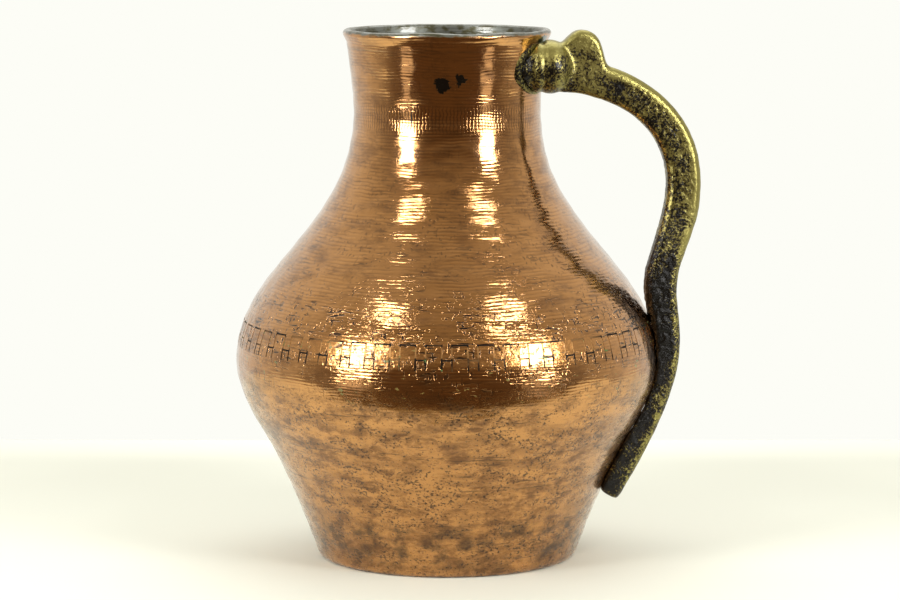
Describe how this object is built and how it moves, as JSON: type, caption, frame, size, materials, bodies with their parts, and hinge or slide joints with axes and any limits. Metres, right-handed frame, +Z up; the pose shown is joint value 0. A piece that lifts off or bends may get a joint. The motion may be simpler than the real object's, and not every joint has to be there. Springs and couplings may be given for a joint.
{
  "type": "water jug",
  "caption": "Hand-raised copper water jug with a wide tabbed-seam belly, a narrow neck, a rolled rim and a cast brass S-curved handle.",
  "frame": {"origin": "centre of the foot, on the surface that the jug stands on", "axes": "+Z up along the vessel's axis, +X towards the handle, -Y towards the side that the handle's plane leans to"},
  "size_m": [0.3077, 0.2808, 0.3518],
  "materials": {
    "hammered_copper": "hammered copper, polished on the high spots and brown in the hollows",
    "worn_copper": "pale scoured copper with brown mottling",
    "braze": "brazing brass with traces of verdigris",
    "iron_wire": "plain drawn iron wire",
    "tin": "wiped tin, dull grey",
    "dark_brass": "blackened brass",
    "old_brass": "cast brass, pitted and dark with age"
  },
  "bodies": {
    "root": {"lower_body": "worn_copper", "upper_body": "hammered_copper", "belly_seam_braze": "braze", "rim_wire": "iron_wire", "tin_lining": "tin", "neck_flange": "dark_brass", "handle": "old_brass", "neck_rove": "hammered_copper", "tail_rivet": "old_brass", "tail_rove": "hammered_copper"}
  },
  "joints": []
}
